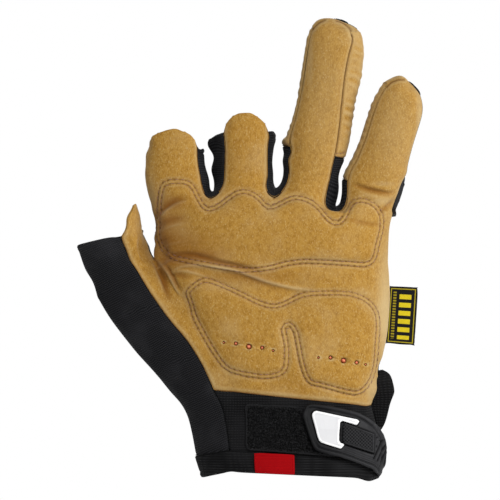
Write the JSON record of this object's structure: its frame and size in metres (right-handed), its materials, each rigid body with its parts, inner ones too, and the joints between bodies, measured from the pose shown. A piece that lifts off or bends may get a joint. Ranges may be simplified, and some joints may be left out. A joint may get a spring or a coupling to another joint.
{
  "type": "leather work glove",
  "caption": "Left-hand leather palm work glove with open thumb, index and middle fingers, full ring and little fingers, knit cuff and wrapped wrist tab.",
  "frame": {"origin": "middle of the cuff's opening, level with the bottom of the hem", "axes": "+Z from the cuff towards the fingertips, -Y out of the palm, -X towards the thumb"},
  "size_m": [0.1576, 0.0591, 0.2108],
  "materials": {
    "tan_suede": "napped golden tan split leather",
    "black_knit": "black stretch knit",
    "black_rib": "black ribbed elastic knit",
    "black_fleece": "black brushed loop pile",
    "black_rubber": "matte moulded black rubber",
    "white_vinyl": "smooth white vinyl",
    "red_webbing": "red woven tape",
    "woven_label": "black woven label with a plain yellow border",
    "orange_foam": "orange foam padding"
  },
  "bodies": {
    "root": {"palm_leather": "tan_suede", "ring_sidewall_inner": "tan_suede", "ring_sidewall_outer": "tan_suede", "little_sidewall": "tan_suede", "back_fabric": "black_knit", "thumb_fabric": "black_knit", "gusset_index_middle": "black_knit", "gusset_middle_ring": "black_knit", "gusset_ring_little": "black_knit", "cuff_front": "black_rib", "cuff_hem": "black_rib", "cuff_flap": "black_rib", "closure_strap": "black_rib", "loop_patch": "black_fleece", "closure_tab": "black_rubber", "tab_badge": "black_rubber", "tab_insert": "white_vinyl", "pull_loop": "red_webbing", "side_label": "woven_label", "little_guard": "black_rubber", "ring_tip_guard": "black_rubber", "little_tip_guard": "black_rubber", "heel_foam_inner": "orange_foam", "heel_foam_outer": "orange_foam"}
  },
  "joints": []
}
